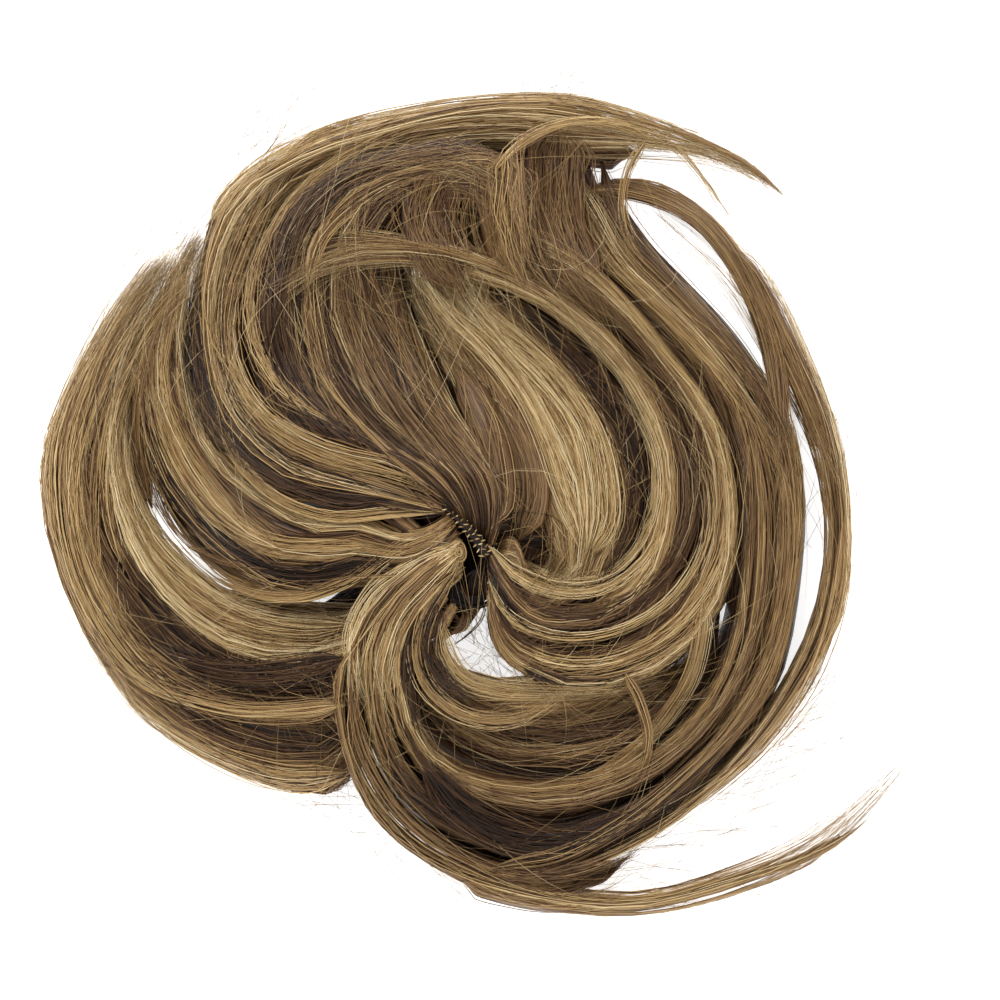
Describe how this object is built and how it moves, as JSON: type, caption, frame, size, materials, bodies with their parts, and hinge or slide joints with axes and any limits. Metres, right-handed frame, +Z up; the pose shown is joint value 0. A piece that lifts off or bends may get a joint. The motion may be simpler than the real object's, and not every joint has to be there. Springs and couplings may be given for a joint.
{
  "type": "top knot hairpiece",
  "caption": "Top knot hairpiece: streaked blonde and brown false hair whose wefts swirl out both ways from an oval black elastic band, lying on a table.",
  "frame": {"origin": "the middle of the underside of the box round the hairpiece, on the table", "axes": "+Z up from the table, +Y towards the top of the picture, +X towards its right"},
  "size_m": [0.2366, 0.2222, 0.0421],
  "materials": {
    "blonde": "satin",
    "ash_brown": "satin",
    "warm_brown": "satin",
    "elastic": "matte",
    "thread": "matte"
  },
  "bodies": {
    "root": {"elastic_band": "elastic", "weft_track_upper": "thread", "weft_track_lower": "thread", "weft_end_roll": "blonde", "weft_crown": "warm_brown", "weft_upper_left": "ash_brown", "weft_middle_left": "blonde", "weft_outer_left": "ash_brown", "weft_inner_curl": "blonde", "weft_inner_right": "blonde", "weft_outer_right": "ash_brown", "weft_small_front": "blonde", "weft_inner_front": "warm_brown", "weft_outer_front": "ash_brown", "weft_long_right": "warm_brown", "weft_tail": "blonde"}
  },
  "joints": []
}
